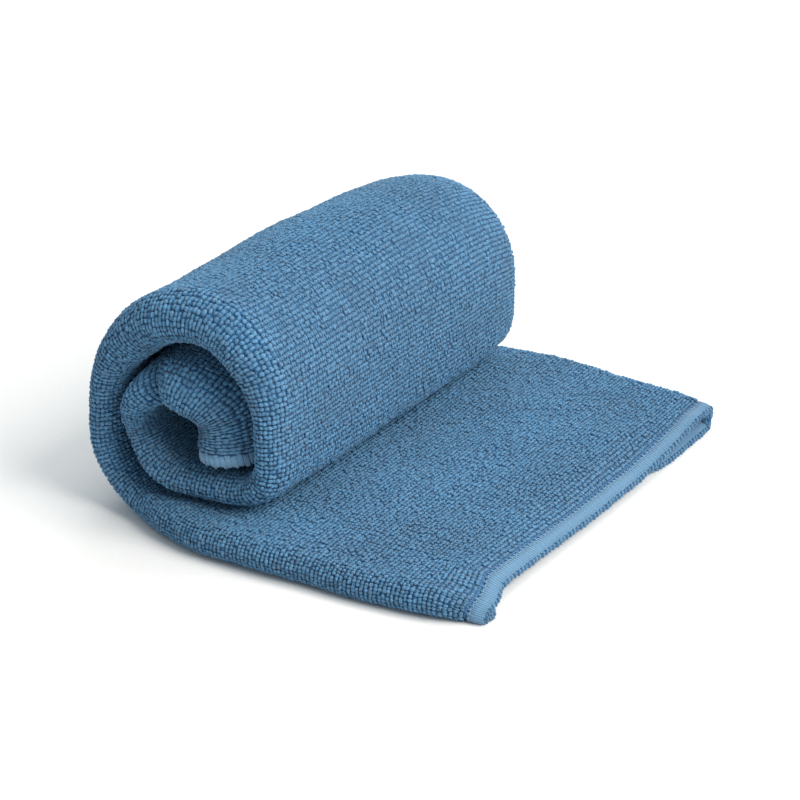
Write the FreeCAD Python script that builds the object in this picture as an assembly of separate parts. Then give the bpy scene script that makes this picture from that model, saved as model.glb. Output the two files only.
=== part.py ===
import FreeCAD, Part
import os

# A quick dry towel of terry cloth with an overlocked edge.  It is folded lengthwise in three and
# loosely rolled, and its free end lies flat.  Millimetres, +Z up.  The roll's axis runs along Y and
# the free end points along +X.  The origin is the centre of the whole towel's footprint.

LAYER = 3.0  # one thickness of terry, pile on both faces
STRIP = 3 * LAYER  # the towel folded in three
LIFT = 0.3  # air between the second turn and the layer that it lies on
SEAM_WIDTH = 5.8  # how far the overlock stitch reaches in from a cut edge
THREAD = 0.7  # depth of the sewing threads on the cloth
NEEDLE_ROW = 0.8  # width of the needle thread's row
FLOOR_AIR = 0.2  # the threads stay this far inside the cloth's faces

ROLL_NEAR, ROLL_FAR = -9.0, 146.0  # fold crests of the rolled strip, along Y
UNDER_NEAR, UNDER_FAR = -13.0, 149.0  # the layer pressed flat below the roll
TAIL_NEAR = -15.0  # near fold of the free end
TAIL_FAR_ROOT, TAIL_FAR_TIP = 151.0, 137.0  # its far fold, which narrows towards the tip

ROLL_LEFT = -37.5  # outer faces of the roll
ROLL_TOP = 69.3
ROLL_RIGHT = 28.0
TIP = 96.3  # end of the free end
FIRST_CURL = 21.0  # the free end bends upwards from here
CURL_STEP = 25.0  # and again after each of these steps
CURL_AIR = 0.25  # half the gap at a bend line

TOP_MIDDLE = -2.0  # where the outer turn is highest
LOWER_LEFT_BEND = 19.0  # mid-line radii of the tight stretches
LOWER_RIGHT_BEND = 10.0
SECOND_LEFT = -21.2  # mid-line of the second turn
SECOND_TOP = 52.0
SECOND_LOWER_BEND = 19.2
SECOND_UPPER_BEND = 14.0
CORE_BEND = 20.5
CORE_DROP = 1.5  # straight cloth before the inner end's seam
QUARTER = 90.0

UP_AXIS = FreeCAD.Vector(0, 1, 0)  # a right-hand turn about +Y goes over the roll, towards +X


class Walk:
    """A point that follows the strip's middle line in the X-Z plane, turning to its right."""

    def __init__(self, x, z, heading):
        self.at = FreeCAD.Vector(x, 0, z)
        self.turn = FreeCAD.Rotation(UP_AXIS, -heading)

    def ahead(self):
        return self.turn.multVec(FreeCAD.Vector(1, 0, 0))

    def right(self):
        return self.turn.multVec(FreeCAD.Vector(0, 0, -1))


def section(walk, near, far, thickness):
    """The folded strip cut across: flat faces, with a round fold at each side."""
    half = thickness / 2
    out = walk.right() * half
    near_mid = walk.at + UP_AXIS * (near + half)
    far_mid = walk.at + UP_AXIS * (far - half)
    crest_far = walk.at + UP_AXIS * far
    crest_near = walk.at + UP_AXIS * near
    edges = [
        Part.LineSegment(near_mid + out, far_mid + out).toShape(),
        Part.Arc(far_mid + out, crest_far, far_mid - out).toShape(),
        Part.LineSegment(far_mid - out, near_mid - out).toShape(),
        Part.Arc(near_mid - out, crest_near, near_mid + out).toShape(),
    ]
    return Part.Wire(edges)


def run(walk, length, near, far, thickness=STRIP):
    """A straight stretch of strip; the walk moves to its end."""
    face = Part.Face(section(walk, near, far, thickness))
    step = walk.ahead() * length
    walk.at = walk.at + step
    return face.extrude(step)


def bend(walk, radius, degrees, near, far, thickness=STRIP):
    """A stretch of strip bent to its right about an axis along Y."""
    face = Part.Face(section(walk, near, far, thickness))
    centre = walk.at + walk.right() * radius
    turned = FreeCAD.Rotation(UP_AXIS, degrees)
    walk.at = centre + turned.multVec(walk.at - centre)
    walk.turn = turned.multiply(walk.turn)
    return face.revolve(centre, UP_AXIS, degrees)


def joined(spans):
    return spans[0].multiFuse(spans[1:]).removeSplitter()


def outer_turn(walk):
    """From the floor up the left side, over the top and down the right side."""
    roll = (ROLL_NEAR, ROLL_FAR)
    left_middle = ROLL_TOP - STRIP / 2 - (TOP_MIDDLE - ROLL_LEFT - STRIP / 2)
    left_rise = left_middle - walk.at.z - LOWER_LEFT_BEND
    top_left_bend = TOP_MIDDLE - ROLL_LEFT - STRIP / 2
    top_right_bend = ROLL_RIGHT - STRIP / 2 - TOP_MIDDLE
    right_top = ROLL_TOP - STRIP / 2 - top_right_bend
    right_low = STRIP * 1.5 + LIFT + LOWER_RIGHT_BEND
    return joined(
        [
            bend(walk, LOWER_LEFT_BEND, QUARTER, *roll),
            run(walk, left_rise, *roll),
            bend(walk, top_left_bend, QUARTER, *roll),
            bend(walk, top_right_bend, QUARTER, *roll),
            run(walk, right_top - right_low, *roll),
            bend(walk, LOWER_RIGHT_BEND, QUARTER, *roll),
        ]
    )


def second_turn(walk):
    """Along the bottom, up the left side again and over to the top of the core."""
    roll = (ROLL_NEAR, ROLL_FAR)
    bottom = walk.at.x - SECOND_LEFT - SECOND_LOWER_BEND
    rise = SECOND_TOP - SECOND_UPPER_BEND - walk.at.z - SECOND_LOWER_BEND
    return joined(
        [
            run(walk, bottom, *roll),
            bend(walk, SECOND_LOWER_BEND, QUARTER, *roll),
            run(walk, rise, *roll),
            bend(walk, SECOND_UPPER_BEND, QUARTER, *roll),
        ]
    )


def ring(walk, depth, near, far):
    """The skin that sewing threads make round the strip, as deep as one row of them."""
    outer = run(walk, depth, near + FLOOR_AIR, far - FLOOR_AIR, STRIP - 2 * FLOOR_AIR)
    walk.at = walk.at - walk.ahead() * depth
    rim = FLOOR_AIR + THREAD
    inner = run(walk, depth, near + rim, far - rim, STRIP - 2 * rim)
    return outer.cut(inner)


def seam(walk, near, far, place):
    """The overlocked end: the cloth's edge inside it, and the three threads that wrap it."""
    start = Walk(0, 0, 0)
    start.at, start.turn = walk.at, walk.turn
    rim = FLOOR_AIR + THREAD
    edge = run(walk, SEAM_WIDTH, near + rim, far - rim, STRIP - 2 * rim)
    needle = ring(start, NEEDLE_ROW, near, far)
    loopers = ring(start, SEAM_WIDTH - NEEDLE_ROW, near, far)
    reach = far - near + 2 * STRIP
    back = start.at - start.ahead() * SEAM_WIDTH + UP_AXIS * (near - STRIP)
    corners = [back, back + UP_AXIS * reach]
    corners += [p + start.ahead() * 2 * SEAM_WIDTH for p in reversed(corners)]
    lower_half = Part.Face(Part.makePolygon(corners + corners[:1])).extrude(start.right() * STRIP)
    threads = {
        place + "_needle_thread": needle,
        place + "_upper_looper_thread": loopers.cut(lower_half),
        place + "_lower_looper_thread": loopers.common(lower_half),
    }
    return edge, threads


def tail_far(x):
    """Far fold of the free end at a distance along it."""
    root = FIRST_CURL + CURL_AIR
    share = (x - root) / (TIP - root)
    return TAIL_FAR_ROOT + share * (TAIL_FAR_TIP - TAIL_FAR_ROOT)


def tail_length(start, end):
    """A flat length of the free end between two bend lines."""
    ends = [section(Walk(x, STRIP / 2, 0), TAIL_NEAR, tail_far(x), STRIP) for x in (start, end)]
    return Part.makeLoft(ends, True, True)


def roll_nodes():
    floor_middle = STRIP / 2
    walk = Walk(FIRST_CURL - CURL_AIR, floor_middle, 180.0)
    floor_end = ROLL_LEFT + STRIP / 2 + LOWER_LEFT_BEND
    nodes = {"cloth_under_roll": run(walk, walk.at.x - floor_end, UNDER_NEAR, UNDER_FAR)}
    nodes["cloth_outer_turn"] = outer_turn(walk)
    nodes["cloth_second_turn"] = second_turn(walk)
    core = [bend(walk, CORE_BEND, QUARTER, ROLL_NEAR, ROLL_FAR)]
    core.append(run(walk, CORE_DROP, ROLL_NEAR, ROLL_FAR))
    edge, threads = seam(walk, ROLL_NEAR, ROLL_FAR, "core_end")
    nodes["cloth_core_turn"] = joined(core + [edge])
    nodes.update(threads)
    return nodes


def tail_nodes():
    middle = FIRST_CURL + CURL_STEP
    end = middle + CURL_STEP
    nodes = {
        "cloth_tail_root": tail_length(FIRST_CURL + CURL_AIR, middle - CURL_AIR),
        "cloth_tail_middle": tail_length(middle + CURL_AIR, end - CURL_AIR),
    }
    seam_start = TIP - SEAM_WIDTH
    edge, threads = seam(Walk(seam_start, STRIP / 2, 0), TAIL_NEAR, tail_far(seam_start), "tail_end")
    nodes["cloth_tail_end"] = joined([tail_length(end + CURL_AIR, seam_start), edge])
    nodes.update(threads)
    return nodes


def main():
    os.makedirs("parts", exist_ok=True)
    nodes = roll_nodes()
    nodes.update(tail_nodes())
    middle_x = (ROLL_LEFT + TIP) / 2
    middle_y = (TAIL_NEAR + TAIL_FAR_ROOT) / 2
    to_origin = FreeCAD.Vector(-middle_x, -middle_y, 0)
    for name, shape in nodes.items():
        shape.translate(to_origin)
        shape.exportStep("parts/" + name + ".step")
        print(name, "solids", len(shape.Solids), "mm3", round(shape.Volume))


main()
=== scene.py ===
import math

import bmesh
import bpy
import numpy as np
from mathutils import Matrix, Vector


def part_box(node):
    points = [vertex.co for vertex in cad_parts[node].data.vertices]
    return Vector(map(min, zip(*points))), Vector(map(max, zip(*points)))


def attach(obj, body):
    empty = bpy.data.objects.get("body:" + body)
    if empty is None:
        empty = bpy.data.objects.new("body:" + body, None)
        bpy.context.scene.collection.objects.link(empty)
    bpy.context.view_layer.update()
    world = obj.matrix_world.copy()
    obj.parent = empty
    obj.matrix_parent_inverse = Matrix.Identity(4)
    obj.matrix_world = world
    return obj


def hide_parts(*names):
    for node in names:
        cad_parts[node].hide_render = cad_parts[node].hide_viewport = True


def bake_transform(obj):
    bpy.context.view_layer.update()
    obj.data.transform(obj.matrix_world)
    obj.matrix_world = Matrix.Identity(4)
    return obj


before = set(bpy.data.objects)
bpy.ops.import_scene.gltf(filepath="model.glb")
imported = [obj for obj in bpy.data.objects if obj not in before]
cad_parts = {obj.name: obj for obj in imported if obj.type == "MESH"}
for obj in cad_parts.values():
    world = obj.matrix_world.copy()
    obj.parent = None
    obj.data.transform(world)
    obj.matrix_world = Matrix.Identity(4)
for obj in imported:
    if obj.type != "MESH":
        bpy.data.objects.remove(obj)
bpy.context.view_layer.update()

# ------------------------------------------------------------------------------------------------
# The cloth: one cut of thin looped terry.  It is folded lengthwise in three, with the inner flap
# between the other two layers, and the strip is then rolled up loosely from one end.  Each length
# of it is modelled flat, in millimetres of the cut (across, along, up), and lay() puts it in place.
# ------------------------------------------------------------------------------------------------
MM = 0.001
outer_low, outer_high = (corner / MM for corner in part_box("cloth_outer_turn"))
second_low, second_high = (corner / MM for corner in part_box("cloth_second_turn"))
core_low, core_high = (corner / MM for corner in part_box("cloth_core_turn"))
under_low, under_high = (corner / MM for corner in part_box("cloth_under_roll"))
root_low, root_high = (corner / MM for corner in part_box("cloth_tail_root"))
middle_low, middle_high = (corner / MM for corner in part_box("cloth_tail_middle"))
end_low, end_high = (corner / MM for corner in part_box("cloth_tail_end"))

STRIP = under_high.z - under_low.z  # the three layers together
LAYER = STRIP / 3
HALF = STRIP / 2
FLAT_LENGTH = end_high.x - under_low.x  # from the free end to where the roll leaves the floor
LOWER_LEFT_BEND = under_low.x - outer_low.x - HALF  # radii of the strip's middle line
LOWER_RIGHT_BEND = 10.0
SECOND_LOWER_BEND = 19.2
SECOND_UPPER_BEND = 14.0
TOP_MIDDLE = under_low.x + 12.0
TOP_LEFT_BEND = TOP_MIDDLE - outer_low.x - HALF
TOP_RIGHT_BEND = outer_high.x - HALF - TOP_MIDDLE
SECOND_LEFT = second_low.x + HALF
SECOND_BOTTOM = second_low.z + HALF
SECOND_TOP = second_high.z - HALF
CORE_BEND = core_high.x - HALF - SECOND_LEFT - SECOND_UPPER_BEND
CORE_END = core_low.z
PATH_STEP = 0.5
EASE = 3.5  # how far each bend runs into the next


def strip_path():
    """The strip's middle line in X and Z, from its free end round to its inner end."""
    left_rise = outer_high.z - STRIP - TOP_LEFT_BEND - LOWER_LEFT_BEND
    right_drop = outer_high.z - HALF - TOP_RIGHT_BEND - SECOND_BOTTOM - LOWER_RIGHT_BEND
    bottom = outer_high.x - HALF - LOWER_RIGHT_BEND - SECOND_LEFT - SECOND_LOWER_BEND
    second_rise = SECOND_TOP - SECOND_UPPER_BEND - SECOND_BOTTOM - SECOND_LOWER_BEND
    legs = [(FLAT_LENGTH, 0), (LOWER_LEFT_BEND, 1), (left_rise, 0), (TOP_LEFT_BEND, 1)]
    legs += [(TOP_RIGHT_BEND, 1), (right_drop, 0), (LOWER_RIGHT_BEND, 1), (bottom, 0)]
    legs += [(SECOND_LOWER_BEND, 1), (second_rise, 0), (SECOND_UPPER_BEND, 1), (CORE_BEND, 1)]
    legs += [(SECOND_TOP - CORE_BEND - CORE_END, 0)]
    at = Vector((end_high.x, HALF))
    heading = math.pi
    line = [at.copy()]
    for size, quarter_turn in legs:
        length = size * math.pi / 2 if quarter_turn else size
        steps = max(1, round(length / PATH_STEP))
        for _ in range(steps):
            heading -= quarter_turn * math.pi / 4 / steps
            at += Vector((math.cos(heading), math.sin(heading))) * (length / steps)
            heading -= quarter_turn * math.pi / 4 / steps
            line.append(at.copy())
    return np.array(line)


def eased(line):
    """The same line with its bends running into each other, as a cloth's do."""
    reach = round(3 * EASE / PATH_STEP)
    share = np.exp(-0.5 * (np.arange(-reach, reach + 1) * PATH_STEP / EASE) ** 2)
    share /= share.sum()
    before = 2 * line[0] - line[reach:0:-1]
    after = 2 * line[-1] - line[-2:-reach - 2:-1]
    longer = np.vstack([before, line, after])
    return np.stack([np.convolve(longer[:, i], share, "valid") for i in (0, 1)], 1)


path = eased(strip_path())
path_at = np.concatenate([[0.0], np.cumsum(np.linalg.norm(np.diff(path, axis=0), axis=1))])
path_ahead = np.gradient(path, path_at, axis=0)
path_ahead /= np.linalg.norm(path_ahead, axis=1)[:, None]
CUT_LENGTH = path_at[-1]

# Across the cut: an edge that is tucked in, the bottom layer, the thick near fold, the top layer,
# the far fold, and the inner flap.
TUCK = 9.0
TUCK_FOLD = 1.0  # radii of the tight folds, at the cloth's middle
FAR_FOLD = 1.3
FLAP_OFF = LAYER - 2 * FAR_FOLD
NEAR_FOLD_WIDTH = 17.0
FLAP_INSET = 48.0  # the inner flap stops short of the near fold by this much
STRIP_WIDTH = outer_high.y - outer_low.y
stretches = [TUCK, math.pi * TUCK_FOLD, STRIP_WIDTH - 9.0, NEAR_FOLD_WIDTH, STRIP_WIDTH - 9.5]
stretches += [math.pi * FAR_FOLD, STRIP_WIDTH - 2.8 - FLAP_INSET]
ACROSS = np.concatenate([[0.0], np.cumsum(stretches)])
FLAP_START = ACROSS[-2]
CUT_WIDTH = ACROSS[-1]


def smooth(x, start, end):
    """0 before start, 1 after end, and a soft step between them."""
    t = np.clip((x - start) / (end - start), 0, 1)
    return t * t * (3 - 2 * t)


def stepped(x, *knots):
    """A value that runs evenly from knot to knot; each knot is a place and a value there."""
    return np.interp(x, [place for place, _ in knots], [value for _, value in knots])


TURN_START = FLAT_LENGTH
SECOND_START = FLAT_LENGTH + 165.0  # about where the inner turns begin
CORE_START = FLAT_LENGTH + 228.0


def near_crest(s):
    """Y of the strip's near fold: close to straight on the floor, uneven in the inner turns."""
    flat = stepped(s, (0, 2.0), (5, 1.2), (12, -1.6), (20, -2.8), (66, -2.6), (78, -2.0), (90, -0.6))
    into_roll = (outer_low.y - root_low.y + 0.6) * smooth(s, 86, 116) + 5.4 * smooth(s, 101, 124)
    inner = smooth(s, SECOND_START, SECOND_START + 25)
    wave = np.sin(s / 8.0 + 0.4) + 0.6 * np.sin(s / 4.1 + 1.9)
    crease_place = SECOND_START + 58
    crease = 5.0 * np.exp(-(((s - crease_place) / 4.0) ** 2))
    return root_low.y + flat + into_roll - 0.8 * inner + wave * (0.25 + 0.85 * inner) + crease


def far_crest(s):
    """Y of the strip's far fold, which is drawn in towards the free end."""
    from_root = stepped(s, (0, -14), (5, -11.7), (13, -8), (29, -4), (44, -1.7), (59, 0), (80, -0.5))
    crest = root_high.y + from_root
    crest = crest + (outer_high.y - root_high.y - 3.3) * smooth(s, 84, 118)
    return crest + 0.5 * np.sin(s / 11.0 + 2.2)


def folded(u, s):
    """Where a place on the cut lies in the folded strip: along Y, and off the strip's middle."""
    near, far = near_crest(s), far_crest(s)
    turned = smooth(s, TURN_START - 5, TURN_START + 20)
    core = smooth(s, CORE_START, CORE_START + 25)
    depth = 4.0 + 3.0 * turned + 1.5 * core  # how far the near fold reaches out
    near_middle = near + depth + LAYER / 2
    tuck_middle = far - TUCK_FOLD - LAYER / 2
    far_middle = far - FAR_FOLD - LAYER / 2
    tuck, tuck_fold, bottom, near_fold, top, far_fold, flap = (
        (u - start) / width for start, width in zip(ACROSS, stretches)
    )
    open_turn, turn, close = math.pi * tuck_fold, math.pi * near_fold, math.pi * far_fold
    places = [
        (tuck <= 1, tuck_middle - TUCK * (1 - tuck), 2 * TUCK_FOLD - LAYER),
        (
            tuck_fold <= 1,
            tuck_middle + TUCK_FOLD * np.sin(open_turn),
            TUCK_FOLD * (1 + np.cos(open_turn)) - LAYER,
        ),
        (bottom <= 1, tuck_middle + bottom * (near_middle - tuck_middle), -LAYER),
        (near_fold <= 1, near_middle - depth * np.sin(turn), -LAYER * np.cos(turn)),
        (top <= 1, near_middle + top * (far_middle - near_middle), LAYER),
        (
            far_fold <= 1,
            far_middle + FAR_FOLD * np.sin(close),
            FLAP_OFF + FAR_FOLD * (1 + np.cos(close)),
        ),
        (flap < np.inf, far_middle + flap * (near + FLAP_INSET - far_middle), FLAP_OFF),
    ]
    when = [place[0] for place in places]
    y = np.select(when, [place[1] for place in places])
    off = np.select(when, [place[2] + 0 * u for place in places])
    in_fold = np.clip(near_fold, 0, 1)
    top_share = np.where(far_fold < 0, in_fold, np.clip((off - FLAP_OFF) / (LAYER - FLAP_OFF), 0, 1))
    bottom_share = 1 - in_fold
    height = np.interp(s, path_at, path[:, 1])
    fat = 0.6 * turned + 10.5 * core + 6.5 * turned * (1 - core) * smooth(height, 34, 60)
    spread = np.where(far_fold < 0, in_fold, 0) * np.exp(-(((y - near) / 20.0) ** 2))
    return y, off + fat * spread, near, far, top_share, bottom_share


def middle_surface(u, s):
    """The cloth's middle in space, in millimetres, for places on the cut."""
    y, off, near, far, top_share, bottom_share = folded(u, s)
    across = y - near
    # the lower layers stop short of the free end; the flap comes out to it at the far corner
    tip = 1 - smooth(s, 0, 30)
    bow = stepped(across, (0, 0), (8, 0.4), (17, 3.2), (36, 2.9), (70, 1.4), (100, 0.8), (125, 0.2))
    flap_short = 10 * (1 - 0.94 * smooth(across, 82, 118)) * smooth(across, 20, 30)
    bottom_short = 12 * smooth(across, 6, 26)
    short = flap_short * (1 - top_share) * (1 - bottom_share) + bottom_short * bottom_share
    place = s + tip * (bow + short)
    x = np.interp(place, path_at, path[:, 0])
    z = np.interp(place, path_at, path[:, 1])
    ahead_x = np.interp(place, path_at, path_ahead[:, 0])
    ahead_z = np.interp(place, path_at, path_ahead[:, 1])
    # the cloth never lies quite flat
    turned = smooth(s, TURN_START, TURN_START + 20)
    wave = 0.35 * np.sin(s / 15 + y / 27) + 0.3 * np.sin(y / 12 - s / 21 + 1.0)
    wave += 0.14 * np.sin(y / 6.1 + s / 7.7)
    wave = wave * (0.35 + 0.65 * top_share + 0.45 * bottom_share * turned)
    crest = np.exp(-((across / 8.0) ** 2))
    off = off * (1 + 0.10 * crest * smooth(s, 4, 30)) + wave
    x = x + ahead_z * off
    z = z - ahead_x * off
    # the free end's top layer comes down to the floor, and its far corner stands open
    reach = 1 - smooth(place, 1, 15)
    top_droop = stepped(across, (0, 0.62), (10, 0.56), (24, 0.46), (98, 0.56), (120, 0.25), (138, -0.05))
    low_droop = stepped(across, (0, 0.62), (24, 0.46), (98, 0.6), (120, 0.72), (138, 0.72))
    z = z * (1 - reach * (low_droop + top_share * (top_droop - low_droop)))
    # at the near end the inner turns have sagged inside the outer one
    inner = smooth(s, SECOND_START + 5, SECOND_START + 45)
    z = z - 8.5 * inner * np.exp(-((across / 24.0) ** 2)) * smooth(z, SECOND_BOTTOM, SECOND_TOP)
    # the roll is a little fuller in the middle and is wound tighter at its far end
    share = (y - outer_low.y) / STRIP_WIDTH
    full = stepped(share, (0, 0.8), (0.06, 0.8), (0.13, 0.3), (0.2, 0.2), (0.38, 1.3), (0.57, 2.4),
                   (0.77, 1.8), (0.865, -0.2), (0.93, -4.0), (1, -10.0))
    swell = 1 + full / 100 * smooth(s, TURN_START - 4, TURN_START + 16)
    wound_on = under_high.x - 12 - 10 * smooth(share, 0.8, 1.0)
    x = wound_on + (x - wound_on) * swell
    z = STRIP + (z - STRIP) * swell
    return np.stack([x, y, z], 1)


def lay(flat):
    """Folds and rolls up points given on the flat cut.  The result is in metres."""
    u, s, up = flat.T
    step = 0.05
    here = middle_surface(u, s)
    by_u = middle_surface(u + step, s) - middle_surface(u - step, s)
    by_s = middle_surface(u, s + step) - middle_surface(u, s - step)
    normal = np.cross(by_u, by_s)
    normal /= np.maximum(np.linalg.norm(normal, axis=1), 1e-9)[:, None]
    there = here + normal * up[:, None]
    there[:, 2] = np.maximum(there[:, 2], 0.03)
    return there * MM


def made_up(name, mesh, material, body):
    """Turns a flat mesh into a finished piece of its part of the strip; the roll's pieces are put under the
    roll's body.
    """
    flat = np.empty(len(mesh.vertices) * 3)
    mesh.vertices.foreach_get("co", flat)
    flat = flat.reshape(-1, 3)
    corners = np.empty(len(mesh.loops), int)
    mesh.loops.foreach_get("vertex_index", corners)
    cut = mesh.uv_layers.new(name="cut")
    cut.uv.foreach_set("vector", (flat[corners, :2] * MM).ravel())
    rise = mesh.attributes.new("rise", "FLOAT", "POINT")
    rise.data.foreach_set("value", flat[:, 2].astype(np.float32))
    mesh.vertices.foreach_set("co", lay(flat).ravel())
    mesh.shade_smooth()
    mesh.materials.clear()
    mesh.materials.append(material)
    mesh.name = name
    piece = bpy.data.objects.new(name, mesh)
    bpy.context.scene.collection.objects.link(piece)
    if body == "roll":
        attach(piece, "roll")
    else:
        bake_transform(piece)
    return piece


bends = {
    "tail_root": ("roll", (under_high.x + root_low.x) / 2),
    "tail_middle": ("tail_root", (root_high.x + middle_low.x) / 2),
    "tail_tip": ("tail_middle", (middle_high.x + end_low.x) / 2),
}
BEND_SPACING = bends["tail_middle"][1] - bends["tail_root"][1]
cuts = [end_high.x - (bend - BEND_SPACING / 2) for _, bend in bends.values()]
lengths = {
    "roll": (cuts[0], CUT_LENGTH),
    "tail_root": (cuts[1], cuts[0]),
    "tail_middle": (cuts[2], cuts[1]),
    "tail_tip": (0.0, cuts[2]),
}

HEM = 5.8  # how far the overlock seam reaches in from a cut edge
GROUND_OUT, GROUND_IN = 0.75, 0.95  # the cloth without its outer loops, each side of its middle
HEM_HALF = 0.75  # the seam presses the cloth to this each side


def ground_level(u, s, side):
    """Height of the ground's face over the cloth's middle, pressed thin along the cut edges."""
    edge = np.minimum.reduce([u, CUT_WIDTH - u, s, CUT_LENGTH - s])
    full = GROUND_OUT if side > 0 else GROUND_IN
    pressed = HEM_HALF + (full - HEM_HALF) * smooth(edge, HEM - 0.8, HEM + 1.5)
    return side * pressed * (0.3 + 0.7 * smooth(edge, -0.2, 1.4))


def cloth_mesh(start, end):
    """A flat length of the cloth, closed all round, finer at the folds and at the free end."""
    spaces = [np.linspace(a, b, max(8, round((b - a) / 2.4)), endpoint=False)
              for a, b in zip(ACROSS, ACROSS[1:])]
    columns = np.concatenate(spaces + [[CUT_WIDTH]])
    rows = np.linspace(start, end, round((end - start) / (1.2 if start == 0 else 2.0)) + 1)
    bm = bmesh.new()
    bmesh.ops.create_grid(bm, x_segments=len(columns) - 1, y_segments=len(rows) - 1, size=1)
    for v in bm.verts:
        v.co.x = columns[round((v.co.x + 1) / 2 * (len(columns) - 1))]
        v.co.y = rows[round((v.co.y + 1) / 2 * (len(rows) - 1))]
    bmesh.ops.solidify(bm, geom=bm.faces[:], thickness=1.0)
    middle = sum(v.co.z for v in bm.verts) / len(bm.verts)
    for v in bm.verts:
        v.co.z = ground_level(v.co.x, v.co.y, 1 if v.co.z > middle else -1)
    bmesh.ops.recalc_face_normals(bm, faces=bm.faces)
    mesh = bpy.data.meshes.new("flat_cloth")
    bm.to_mesh(mesh)
    bm.free()
    return mesh


def fuzz_group():
    """Loose ends of fine fibre: an uneven height that cloth and thread both have."""
    tree = bpy.data.node_groups.new("fibre_fuzz", "ShaderNodeTree")
    tree.interface.new_socket(name="Place", in_out="INPUT", socket_type="NodeSocketVector")
    tree.interface.new_socket(name="Fineness", in_out="INPUT", socket_type="NodeSocketFloat")
    tree.interface.new_socket(name="Height", in_out="OUTPUT", socket_type="NodeSocketFloat")
    given = tree.nodes.new("NodeGroupInput")
    out = tree.nodes.new("NodeGroupOutput")
    noise = tree.nodes.new("ShaderNodeTexNoise")
    noise.inputs["Detail"].default_value = 3.0
    noise.inputs["Roughness"].default_value = 0.65  # how strong the finest fibres are
    tree.links.new(given.outputs["Place"], noise.inputs["Vector"])
    tree.links.new(given.outputs["Fineness"], noise.inputs["Scale"])
    tree.links.new(noise.outputs["Fac"], out.inputs["Height"])
    return tree


fibre_fuzz = fuzz_group()


def new_material(name):
    material = bpy.data.materials.new(name)
    material.use_nodes = True
    material.node_tree.nodes.clear()
    return material, material.node_tree


def maths(tree, operation, *values):
    node = tree.nodes.new("ShaderNodeMath")
    node.operation = operation
    for given, value in zip(node.inputs, values):
        if isinstance(value, (int, float)):
            given.default_value = value
        else:
            tree.links.new(value, given)
    return node.outputs[0]


def shades(tree, value, *stops):
    """A colour ramp; each stop is a place from 0 to 1 and a linear colour."""
    ramp = tree.nodes.new("ShaderNodeValToRGB")
    first, last = ramp.color_ramp.elements
    first.position, last.position = stops[0][0], stops[-1][0]
    first.color, last.color = stops[0][1] + (1,), stops[-1][1] + (1,)
    for place, colour in stops[1:-1]:
        ramp.color_ramp.elements.new(place).color = colour + (1,)
    tree.links.new(value, ramp.inputs["Fac"])
    return ramp.outputs["Color"]


def cut_place(tree):
    node = tree.nodes.new("ShaderNodeUVMap")
    node.uv_map = "cut"
    return node.outputs[0]


def fuzz(tree, place, fineness):
    node = tree.nodes.new("ShaderNodeGroup")
    node.node_tree = fibre_fuzz
    node.inputs["Fineness"].default_value = fineness
    tree.links.new(place, node.inputs["Place"])
    return node.outputs["Height"]


def patches(tree, place, scale, low, high):
    """Broad soft areas, at random, that are a little lighter or darker."""
    noise = tree.nodes.new("ShaderNodeTexNoise")
    noise.inputs["Scale"].default_value = scale
    noise.inputs["Detail"].default_value = 2.0
    tree.links.new(place, noise.inputs["Vector"])
    return maths(tree, "MULTIPLY_ADD", noise.outputs["Fac"], high - low, low)


def tinted(tree, colour, amount):
    node = tree.nodes.new("ShaderNodeVectorMath")
    node.operation = "SCALE"
    tree.links.new(colour, node.inputs[0])
    tree.links.new(amount, node.inputs["Scale"])
    return node.outputs[0]


def finished(tree, colour, roughness, height, depth, sheen):
    """The shader of a soft, matt surface with its height as bump."""
    bump = tree.nodes.new("ShaderNodeBump")
    bump.inputs["Distance"].default_value = depth
    tree.links.new(height, bump.inputs["Height"])
    shader = tree.nodes.new("ShaderNodeBsdfPrincipled")
    shader.inputs["Specular IOR Level"].default_value = 0.5
    shader.inputs["Sheen Weight"].default_value = sheen
    shader.inputs["Sheen Roughness"].default_value = 0.5
    shader.inputs["Sheen Tint"].default_value = (0.75, 0.87, 1.0, 1)
    tree.links.new(colour, shader.inputs["Base Color"])
    tree.links.new(roughness, shader.inputs["Roughness"])
    tree.links.new(bump.outputs[0], shader.inputs["Normal"])
    out = tree.nodes.new("ShaderNodeOutputMaterial")
    tree.links.new(shader.outputs[0], out.inputs["Surface"])


RIB = 1.3  # from one row of loops to the next, along the cut
LOOP = 1.15  # from loop to loop in a row
# The ground's colours: painted shade for the low gaps of the knit and painted light for its tops.
GROUND_GAP_SHADE = (0.003, 0.045, 0.140)
GROUND_TOP_LIT = (0.035, 0.170, 0.370)


def ground_material():
    """The knitted ground and its low loops, in rows, with painted shade in the gaps between them and painted
    light on the loops' tops.
    """
    material, tree = new_material("terry_ground_blue")
    place = cut_place(tree)
    split = tree.nodes.new("ShaderNodeSeparateXYZ")
    tree.links.new(place, split.inputs[0])
    row_turns = maths(tree, "MULTIPLY", split.outputs["Y"], 2 * math.pi / (RIB * MM))
    loop_turns = maths(tree, "MULTIPLY", split.outputs["X"], 2 * math.pi / (LOOP * MM))
    loop = maths(tree, "MULTIPLY", maths(tree, "SINE", loop_turns), 0.6)
    row_and_loop = maths(tree, "ADD", maths(tree, "SINE", row_turns), loop)
    knit = maths(tree, "MULTIPLY_ADD", row_and_loop, 0.3, 0.5)
    height = maths(tree, "MULTIPLY_ADD", fuzz(tree, place, 2200.0), 0.5, knit)
    # darker where the knit is low, as painted shade, and lighter where it is high, as painted light
    colour = shades(tree, height, (0.25, GROUND_GAP_SHADE), (1.0, GROUND_TOP_LIT))
    colour = tinted(tree, colour, patches(tree, place, 40.0, 0.8, 1.25))
    roughness = maths(tree, "MULTIPLY_ADD", height, -0.08, 0.98)
    finished(tree, colour, roughness, height, 0.0007, 0.2)
    return material


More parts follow.
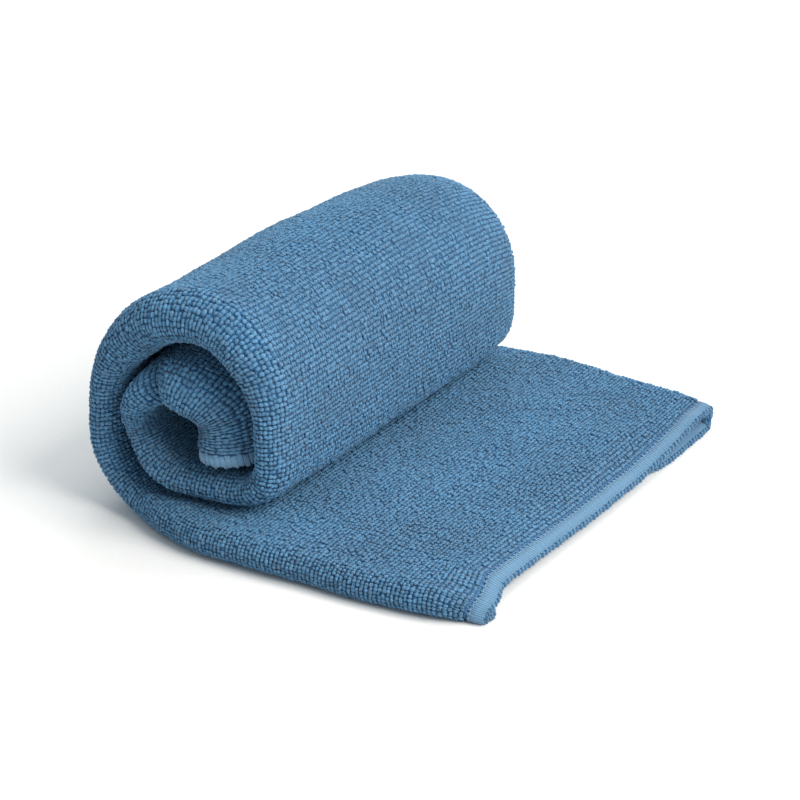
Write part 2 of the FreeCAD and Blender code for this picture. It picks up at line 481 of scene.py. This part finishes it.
terry_ground = ground_material()
stands_for = {
    "roll": ("cloth_outer_turn", "cloth_second_turn", "cloth_core_turn"),
    "tail_root": ("cloth_under_roll", "cloth_tail_root"),
    "tail_middle": ("cloth_tail_middle",),
    "tail_tip": ("cloth_tail_end",),
}
for body, (start, end) in lengths.items():
    made_up("terry_" + body, cloth_mesh(start, end), terry_ground, body)
    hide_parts(*stands_for[body])

# ------------------------------------------------------------------------------------------------
# The pile: rows of small soft loops that are knitted into the ground and cover it.  They are made
# on the face that ends up outside the folded strip; between the layers the ground shows instead.
# ------------------------------------------------------------------------------------------------
LOOP_HALF = (0.76, 0.67, 0.50)  # half a loop across the cut, along it and in height
LOOP_CENTRE = 1.0  # height of its middle over the cloth's middle
LOOP_STRAY = (0.26, 0.15, 0.14)
# The pile's colours run from painted shade at the loops' feet, through their sides, to painted light on
# their tops.
PILE_FEET_SHADE = (0.003, 0.082, 0.215)
PILE_SIDE = (0.030, 0.190, 0.392)
PILE_TOP_LIT = (0.088, 0.290, 0.528)
PILE_ACROSS = (TUCK - 2.0, FLAP_START + 6.0)  # past the tight folds it is out of sight


def repeated(unit, counts, steps):
    """Many copies of a small mesh in even rows, as one mesh."""
    first = bpy.data.objects.new("unit", unit)
    bpy.context.scene.collection.objects.link(first)
    for axis, (count, step) in enumerate(zip(counts, steps)):
        rows = first.modifiers.new("rows", "ARRAY")
        rows.use_relative_offset = False
        rows.use_constant_offset = True
        rows.count = count
        rows.constant_offset_displace = (step if axis == 0 else 0, step if axis == 1 else 0, 0)
    finished_state = bpy.context.evaluated_depsgraph_get()
    whole = bpy.data.meshes.new_from_object(first.evaluated_get(finished_state))
    bpy.data.objects.remove(first)
    bpy.data.meshes.remove(unit)
    return whole


def loop_mesh():
    bm = bmesh.new()
    bmesh.ops.create_icosphere(bm, subdivisions=1, radius=1.0)
    bmesh.ops.scale(bm, vec=LOOP_HALF, verts=bm.verts)
    mesh = bpy.data.meshes.new("one_loop")
    bm.to_mesh(mesh)
    bm.free()
    return mesh


def pile_mesh(across, along, seed):
    """Loops over part of the cut, each a little off its place, size and lean."""
    counts = [max(1, round((b - a) / pitch)) for (a, b), pitch in zip((across, along), (LOOP, RIB))]
    mesh = repeated(loop_mesh(), counts, (LOOP, RIB))
    total = counts[0] * counts[1]
    co = np.empty(len(mesh.vertices) * 3)
    mesh.vertices.foreach_get("co", co)
    co = co.reshape(total, -1, 3)
    middle = co.mean(1, keepdims=True)
    chance = np.random.default_rng(seed)
    stray = chance.normal(0, 0.6, (total, 1, 3)).clip(-1.5, 1.5) * LOOP_STRAY
    size = chance.uniform(0.76, 1.16, (total, 1, 3))
    turn = chance.normal(-0.3, 0.35, (total, 1))
    shape = (co - middle) * size
    turned_u = shape[:, :, 0] * np.cos(turn) - shape[:, :, 1] * np.sin(turn)
    turned_s = shape[:, :, 0] * np.sin(turn) + shape[:, :, 1] * np.cos(turn)
    shape = np.stack([turned_u, turned_s, shape[:, :, 2]], 2)
    start = np.array([across[0] + LOOP / 2, along[0] + RIB / 2, LOOP_CENTRE])
    mesh.vertices.foreach_set("co", (middle + shape + stray + start).ravel())
    tone = mesh.attributes.new("tone", "FLOAT", "POINT")
    each_tone = np.repeat(chance.uniform(0, 1, total), co.shape[1])
    tone.data.foreach_set("value", each_tone.astype(np.float32))
    return mesh


def attribute(tree, name):
    node = tree.nodes.new("ShaderNodeAttribute")
    node.attribute_name = name
    return node.outputs["Fac"]


def pile_material():
    """Painted shade at the loops' feet and painted light on their tops, in broad areas of lighter and darker
    pile.
    """
    material, tree = new_material("terry_pile_blue")
    place = cut_place(tree)
    rise = maths(tree, "DIVIDE", attribute(tree, "rise"), LOOP_CENTRE + LOOP_HALF[2])
    fibres = fuzz(tree, place, 1900.0)
    # the loops' height sets the colour: painted shade low down, painted light on top
    level = maths(tree, "MULTIPLY_ADD", fibres, 0.3, maths(tree, "SUBTRACT", rise, 0.15))
    colour = shades(tree, level, (0.30, PILE_FEET_SHADE), (0.68, PILE_SIDE), (1.0, PILE_TOP_LIT))
    tone = maths(tree, "MULTIPLY_ADD", attribute(tree, "tone"), 0.3, 0.85)
    broad_tone = patches(tree, place, 38.0, 0.72, 1.28)
    colour = tinted(tree, colour, maths(tree, "MULTIPLY", tone, broad_tone))
    roughness = maths(tree, "MULTIPLY_ADD", fibres, 0.2, 0.55)
    finished(tree, colour, roughness, fibres, 0.0012, 0.35)
    return material


terry_pile = pile_material()
PILE_MOST = 9000  # loops in one piece


def pile_parts(body):
    """Where a body's pile begins and ends along the cut, in pieces of a workable size."""
    start, end = lengths[body]
    first = max(0, round((start - HEM) / RIB))
    last = round((min(end, CUT_LENGTH - HEM) - HEM) / RIB)
    parts = math.ceil((last - first) * (PILE_ACROSS[1] - PILE_ACROSS[0]) / LOOP / PILE_MOST)
    rows = [first + round((last - first) * i / parts) for i in range(parts + 1)]
    return [(HEM + low * RIB, HEM + high * RIB) for low, high in zip(rows, rows[1:])]


pile = {}
for body in lengths:
    pile[body] = []
    for number, along in enumerate(pile_parts(body)):
        name = f"pile_{body}_{number + 1}"
        seed = len(name) + 17 * number
        loops = pile_mesh(PILE_ACROSS, along, seed)
        piece = made_up(name, loops, terry_pile, body)
        pile[body].append(piece)

# ------------------------------------------------------------------------------------------------
# The overlock seam: soft textured thread wraps every cut edge so that it can't fray.  On each face
# a looper thread lies side by side across the seam, both lock in a row of purls along the edge,
# and the needle thread holds them down in a row of short stitches at the seam's inner side.
# ------------------------------------------------------------------------------------------------
STITCH = 2.0
NEEDLE_LINE = HEM - 1.3  # where the needle's stitches run, in from the edge
# The thread's colours: painted shade where it lies low, nearer the cloth's middle and round the edge, and
# painted light on its outer tops.
THREAD_LOW_SHADE = (0.055, 0.165, 0.300)
THREAD_TOP_LIT = (0.130, 0.280, 0.445)


def thread_run(bm, start, end, width, depth):
    """A short length of soft thread from start to end, flattened, with rounded ends."""
    start, end = Vector(start), Vector(end)
    verts = bmesh.ops.create_uvsphere(bm, u_segments=6, v_segments=4, radius=0.5)["verts"]
    laid_down = Vector((0, 0, 1)).rotation_difference((1, 0, 0)).to_matrix()
    bmesh.ops.rotate(bm, matrix=laid_down, verts=verts)
    run = end - start
    long = max(run.length - width, 0.01)
    for v in verts:
        body_end = math.copysign(long / 2, v.co.x) if abs(v.co.x) > 0.1 else 0
        v.co = (v.co.x * width + body_end, v.co.y * width, v.co.z * depth)
    turned = Vector((1, 0, 0)).rotation_difference(run).to_matrix()
    bmesh.ops.rotate(bm, matrix=turned, verts=verts)
    bmesh.ops.translate(bm, vec=(start + end) / 2, verts=verts)


def stitch_mesh():
    """One overlock stitch on a flat edge: along the edge, in from it, and up."""
    bm = bmesh.new()
    over = HEM_HALF + 0.12
    for face in (1, -1):
        for strand in (0.5, 1.5):
            reach = HEM - 0.5 - 0.5 * (strand > 1)
            thread_run(bm, (strand - 0.25, 0.2, face * over), (strand + 0.25, reach, face * over), 1.35, 0.6)
        needle_level = face * (over + 0.2)
        thread_run(bm, (0.15, NEEDLE_LINE, needle_level), (1.7, NEEDLE_LINE, needle_level), 0.45, 0.35)
    thread_run(bm, (1.0, 0.1, -over - 0.1), (1.0, 0.1, over + 0.1), 1.35, 1.0)
    mesh = bpy.data.meshes.new("one_stitch")
    bm.to_mesh(mesh)
    bm.free()
    return mesh


def seam_mesh(start, end, edge):
    """A seam along one edge of the cut: its free end, its inner end or its long outer side."""
    mesh = repeated(stitch_mesh(), (round((end - start) / STITCH),), (STITCH,))
    co = np.empty(len(mesh.vertices) * 3)
    mesh.vertices.foreach_get("co", co)
    along, inwards, up = co.reshape(-1, 3).T
    along = along + start
    inwards = inwards + 0.14 * np.sin(along * 2.3) + 0.1 * np.sin(along * 5.9)
    if edge == "free_end":
        co = np.stack([along, inwards, up], 1)
    elif edge == "inner_end":
        co = np.stack([along, CUT_LENGTH - inwards, up], 1)
        mesh.flip_normals()
    else:
        co = np.stack([inwards, along, up], 1)
        mesh.flip_normals()
    mesh.vertices.foreach_set("co", co.ravel())
    return mesh


def thread_material():
    """Texturised thread, paler than the cloth, with fine fibres standing off it, painted shade where it lies
    low and painted light on its outer tops.
    """
    material, tree = new_material("overlock_thread_light_blue")
    place = cut_place(tree)
    fibres = fuzz(tree, place, 4200.0)
    rise = maths(tree, "ABSOLUTE", maths(tree, "DIVIDE", attribute(tree, "rise"), HEM_HALF + 0.5))
    level = maths(tree, "MULTIPLY_ADD", fibres, 0.5, maths(tree, "MULTIPLY", rise, 0.6))
    # painted shade low on the thread, painted light on its outer tops
    colour = shades(tree, level, (0.35, THREAD_LOW_SHADE), (0.85, THREAD_TOP_LIT))
    roughness = maths(tree, "MULTIPLY_ADD", fibres, 0.2, 0.6)
    finished(tree, colour, roughness, fibres, 0.0002, 0.3)
    return material


overlock_thread = thread_material()
SEAM_STAND_INS = ("needle_thread", "upper_looper_thread", "lower_looper_thread")
seams = {body: [] for body in lengths}
CORNER = 1.0  # the end seams stop this short of the cut's corners
free_stitches = seam_mesh(CORNER, CUT_WIDTH - CORNER, "free_end")
free_seam = made_up("seam_free_end", free_stitches, overlock_thread, "tail_tip")
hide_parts(*("tail_end_" + thread for thread in SEAM_STAND_INS))
seams["tail_tip"].append(free_seam)
inner_stitches = seam_mesh(CORNER, CUT_WIDTH - CORNER, "inner_end")
inner_seam = made_up("seam_inner_end", inner_stitches, overlock_thread, "roll")
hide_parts(*("core_end_" + thread for thread in SEAM_STAND_INS))
seams["roll"].append(inner_seam)
for body, (start, end) in lengths.items():
    start, end = max(start, HEM), min(end, CUT_LENGTH - HEM)
    side = made_up("seam_side_" + body, seam_mesh(start, end, "side"), overlock_thread, body)
    seams[body].append(side)

# ------------------------------------------------------------------------------------------------
# The studio: white paper, one large soft light on the right and a paler one high up behind.
# ------------------------------------------------------------------------------------------------
VIEW_AZIMUTH, VIEW_ELEVATION = math.radians(29.81), math.radians(22.41)
VIEW_DISTANCE = 0.7038
VIEW_TARGET = Vector((0.0114, -0.0271, 0.0332))


def toward(azimuth, elevation):
    level = math.cos(elevation)
    return Vector((math.sin(azimuth) * level, -math.cos(azimuth) * level, math.sin(elevation)))


def aimed(thing, azimuth, elevation, distance, target):
    direction = toward(azimuth, elevation)
    thing.location = target + direction * distance
    thing.rotation_euler = direction.to_track_quat("Z", "Y").to_euler()
    bpy.context.scene.collection.objects.link(thing)


camera = bpy.data.objects.new("camera", bpy.data.cameras.new("camera"))
camera.data.lens = 112.9
camera.data.sensor_width = 36
aimed(camera, VIEW_AZIMUTH, VIEW_ELEVATION, VIEW_DISTANCE, VIEW_TARGET)
bpy.context.scene.camera = camera
bpy.context.scene.view_settings.view_transform = "Standard"


LIGHT_DISTANCE = 1.6


def soft_light(name, azimuth, elevation, size, power, colour):
    light = bpy.data.lights.new(name, "AREA")
    light.size = size
    light.energy = power
    light.color = colour
    stand = bpy.data.objects.new(name, light)
    aimed(stand, math.radians(azimuth), math.radians(elevation), LIGHT_DISTANCE, Vector())


soft_light("key_light", 86, 40, 1.1, 30, (1.0, 0.95, 0.89))
soft_light("top_light", 185, 60, 1.5, 13, (1.0, 0.98, 0.96))
world = bpy.data.worlds.new("studio")
world.use_nodes = True
world.node_tree.nodes["Background"].inputs["Color"].default_value = (0.88, 0.97, 1.0, 1)
world.node_tree.nodes["Background"].inputs["Strength"].default_value = 0.5
bpy.context.scene.world = world

bm = bmesh.new()
bmesh.ops.create_grid(bm, x_segments=1, y_segments=1, size=6)
floor_mesh = bpy.data.meshes.new("floor")
bm.to_mesh(floor_mesh)
bm.free()
floor = bpy.data.objects.new("floor", floor_mesh)
bpy.context.scene.collection.objects.link(floor)
paper, tree = new_material("white_paper")
place = tree.nodes.new("ShaderNodeTexCoord").outputs["Object"]
grain = fuzz(tree, place, 900.0)
finished(tree, shades(tree, grain, (0.3, (0.86, 0.86, 0.86)), (0.7, (0.9, 0.9, 0.9))),
         maths(tree, "MULTIPLY_ADD", grain, 0.1, 0.85), grain, 0.00002, 0.0)
floor_mesh.materials.append(paper)
